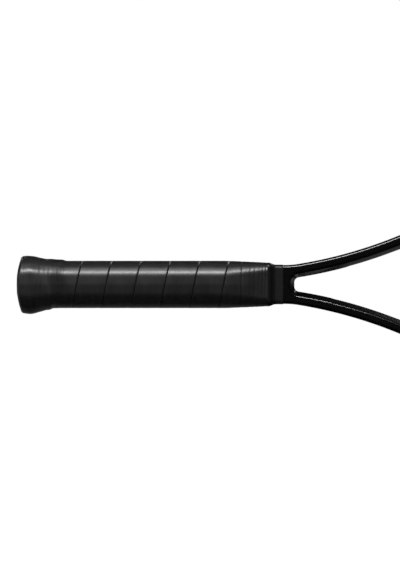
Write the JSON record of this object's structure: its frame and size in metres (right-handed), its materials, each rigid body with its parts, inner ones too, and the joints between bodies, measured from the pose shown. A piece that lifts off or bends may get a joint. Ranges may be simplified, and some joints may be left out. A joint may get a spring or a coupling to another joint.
{
  "type": "tennis racket",
  "caption": "Adult tennis racket with an oval strung head, an open throat, an eight-sided wrapped handle and a small rubber vibration dampener that slides on the middle strings.",
  "frame": {"origin": "centre of the flat end of the butt cap", "axes": "+X runs from the butt to the tip of the head, +Y is normal to the string plane and +Z lies in the string plane"},
  "size_m": [0.687, 0.0404, 0.2649],
  "materials": {
    "frame": "smooth black lacquer over a moulded carbon-fibre tube",
    "pallet": "moulded tan foam",
    "cap": "moulded black, fine grain",
    "cap_door": "moulded black, plain",
    "staple": "plain steel wire",
    "grip": "black wrapped grip with a soft satin sheen",
    "tape": "matt black tape, slightly stretched",
    "nylon": "moulded black nylon",
    "string": "natural coloured string, slightly glossy",
    "dampener": "soft dark grey rubber, satin"
  },
  "bodies": {
    "racket": {"frame_hoop": "frame", "throat_bridge": "frame", "handle_pallet_front": "pallet", "handle_pallet_back": "pallet", "butt_cap": "cap", "butt_cap_staple_upper": "staple", "butt_cap_staple_lower": "staple", "base_grip": "grip", "finishing_tape": "tape", "bumper_guard": "nylon", "grommet_strip_upper": "nylon", "grommet_strip_lower": "nylon", "grommet_strip_throat": "nylon", "main_strings": "string", "cross_strings": "string", "main_knot_upper": "string", "main_knot_lower": "string", "cross_knot_first": "string", "cross_knot_last": "string"},
    "door": {"butt_cap_door": "cap_door"},
    "dampener": {"string_dampener": "dampener"}
  },
  "joints": [
    {"name": "door_pull", "type": "slide", "parent": "racket", "child": "door", "axis": [-1, 0, 0], "range_m": [0, 0.012]},
    {"name": "dampener_slide", "type": "slide", "parent": "racket", "child": "dampener", "axis": [1, 0, 0], "range_m": [-0.014, 0.006]}
  ]
}
